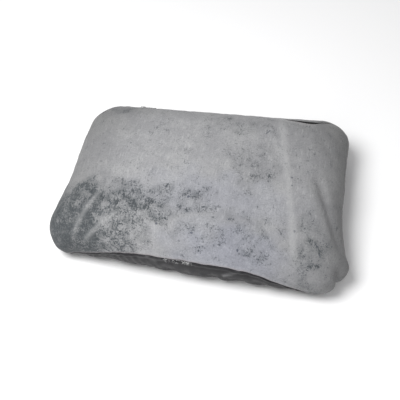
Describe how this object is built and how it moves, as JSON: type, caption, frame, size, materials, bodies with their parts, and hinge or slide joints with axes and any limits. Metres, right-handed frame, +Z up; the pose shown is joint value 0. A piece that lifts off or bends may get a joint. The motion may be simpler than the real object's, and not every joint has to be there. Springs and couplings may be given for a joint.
{
  "type": "camp pillow",
  "caption": "Soft filled camp pillow: light grey brushed face, dark grey back, zipped cover with a sliding zip pull, over a filled insert.",
  "frame": {"origin": "middle of the flat base, on the surface the pillow lies on", "axes": "+X along the length, +Y towards the rear edge with the zip, +Z up through the face panel"},
  "size_m": [0.4587, 0.3166, 0.1122],
  "materials": {
    "face_fabric": "brushed short nap, mottled light grey, matt",
    "shell_fabric": "dark grey woven shell cloth, slightly slick",
    "binding": "woven seam binding",
    "label": "blank woven label tape",
    "zip_tape": "black woven zip tape",
    "zip_coil": "black nylon coil, satin",
    "zip_metal": "black enamelled die casting",
    "thread": "grey sewing thread",
    "casing": "thin white casing cloth",
    "foam": "soft open-cell foam and fibre fill"
  },
  "bodies": {
    "cover": {"face_panel": "face_fabric", "rear_band": "face_fabric", "back_panel": "shell_fabric", "seam_binding": "binding", "care_label": "label", "zip_tape_upper": "zip_tape", "zip_tape_lower": "zip_tape", "zip_coil_upper": "zip_coil", "zip_coil_lower": "zip_coil", "zip_top_stop_upper": "zip_metal", "zip_top_stop_lower": "zip_metal", "zip_bottom_stop": "zip_metal", "topstitch_face": "thread", "topstitch_band": "thread", "seam_stitching": "thread", "insert_casing_top": "casing", "insert_casing_base": "casing", "filling": "foam"},
    "slider": {"zip_slider": "zip_metal"},
    "pull": {"zip_pull": "zip_metal"}
  },
  "joints": [
    {"name": "slider_travel", "type": "slide", "parent": "cover", "child": "slider", "axis": [0.999, 0.0431, 0.0133], "range_m": [0, 0.178]},
    {"name": "pull_swing", "type": "hinge", "parent": "slider", "child": "pull", "pos_m": [-0.12812, 0.13406, 0.07728], "axis": [0.0175, -0.6414, 0.767], "range_deg": [0, 170]}
  ]
}
